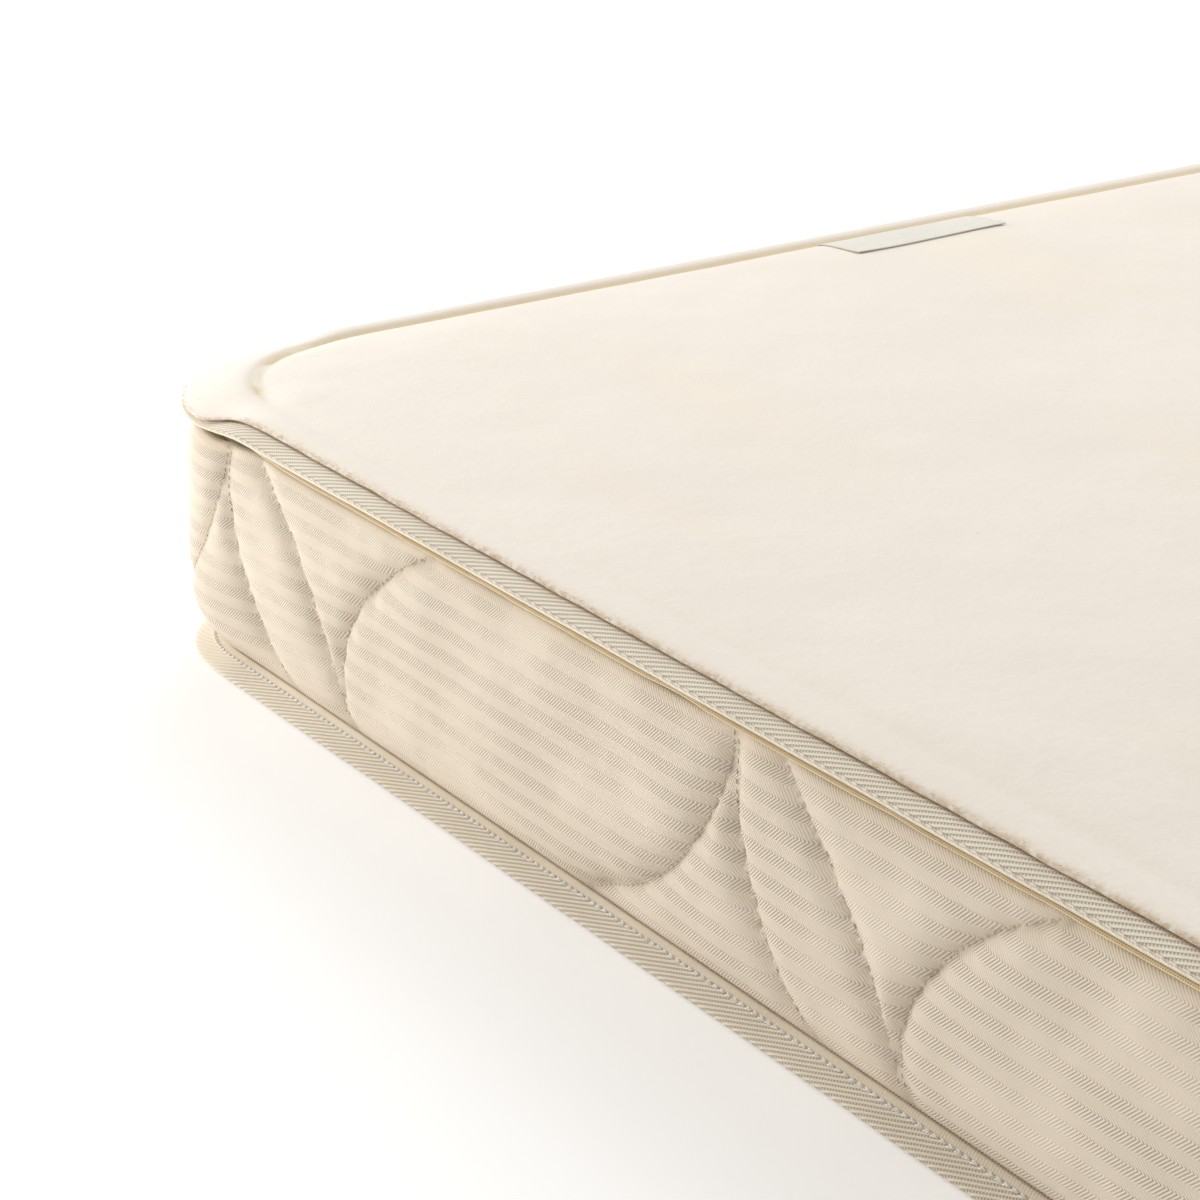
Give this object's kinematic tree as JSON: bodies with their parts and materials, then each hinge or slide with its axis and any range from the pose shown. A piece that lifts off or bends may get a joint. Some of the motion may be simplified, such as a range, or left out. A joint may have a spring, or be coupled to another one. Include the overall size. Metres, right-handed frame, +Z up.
{
  "type": "cot-bed mattress",
  "caption": "Boxed cot-bed mattress with taped edges, a quilted ticking border, a fleecy zip-off top cover and a layered core of wool, latex and coir.",
  "frame": {"origin": "middle of the underside, on the surface it rests on", "axes": "+X along the mattress, +Y across it towards the long side where the zip's ends meet, +Z up through the sleeping face"},
  "size_m": [1.4, 0.7, 0.1045],
  "materials": {
    "brushed_cotton": "brushed, fleecy, matt",
    "twill_tape": "herringbone twill tape, matt",
    "ticking": "herringbone ticking, quilted, matt",
    "calico": "plain weave, matt",
    "wadding": "needled fibre, matt",
    "wool": "needled fleece, matt",
    "latex": "natural latex foam with pin holes",
    "coir": "rubberised coconut fibre, coarse",
    "nylon": "woven zip tape and coil",
    "nickel": "satin plated",
    "satin_label": "woven label, slight sheen"
  },
  "bodies": {
    "base": {"border_ticking": "ticking", "border_wadding": "wadding", "border_lining": "calico", "lower_zip_tape": "nylon", "lower_zip_coil": "nylon", "lower_end_stop": "nickel", "zip_retainer_box": "nickel", "bottom_edge_tape": "twill_tape", "bottom_panel": "calico", "bottom_wadding": "wadding", "care_label": "satin_label", "inner_sleeve": "calico", "wool_layer_bottom": "wool", "latex_layer_bottom": "latex", "coir_core": "coir", "latex_layer_top": "latex", "wool_layer_top": "wool"},
    "cover": {"top_panel": "brushed_cotton", "top_wadding": "wadding", "top_backing": "calico", "top_edge_tape": "twill_tape", "top_border_strip": "ticking", "upper_zip_tape": "nylon", "upper_zip_coil": "nylon", "upper_end_stop": "nickel", "zip_insertion_pin": "nickel", "zip_garage_flap": "ticking", "woven_label": "satin_label"},
    "slider": {"zip_slider": "nickel"},
    "pull": {"zip_pull": "nickel"}
  },
  "joints": [
    {"name": "cover_lift", "type": "slide", "parent": "base", "child": "cover", "axis": [0, 0, 1], "range_m": [0, 0.25]},
    {"name": "zip_slide", "type": "slide", "parent": "base", "child": "slider", "axis": [-1, 0, 0], "range_m": [0, 0.55]},
    {"name": "zip_pull_swing", "type": "hinge", "parent": "slider", "child": "pull", "pos_m": [-0.03, 0.3393, 0.0881], "axis": [0, 0, -1], "range_deg": [0, 180]}
  ]
}
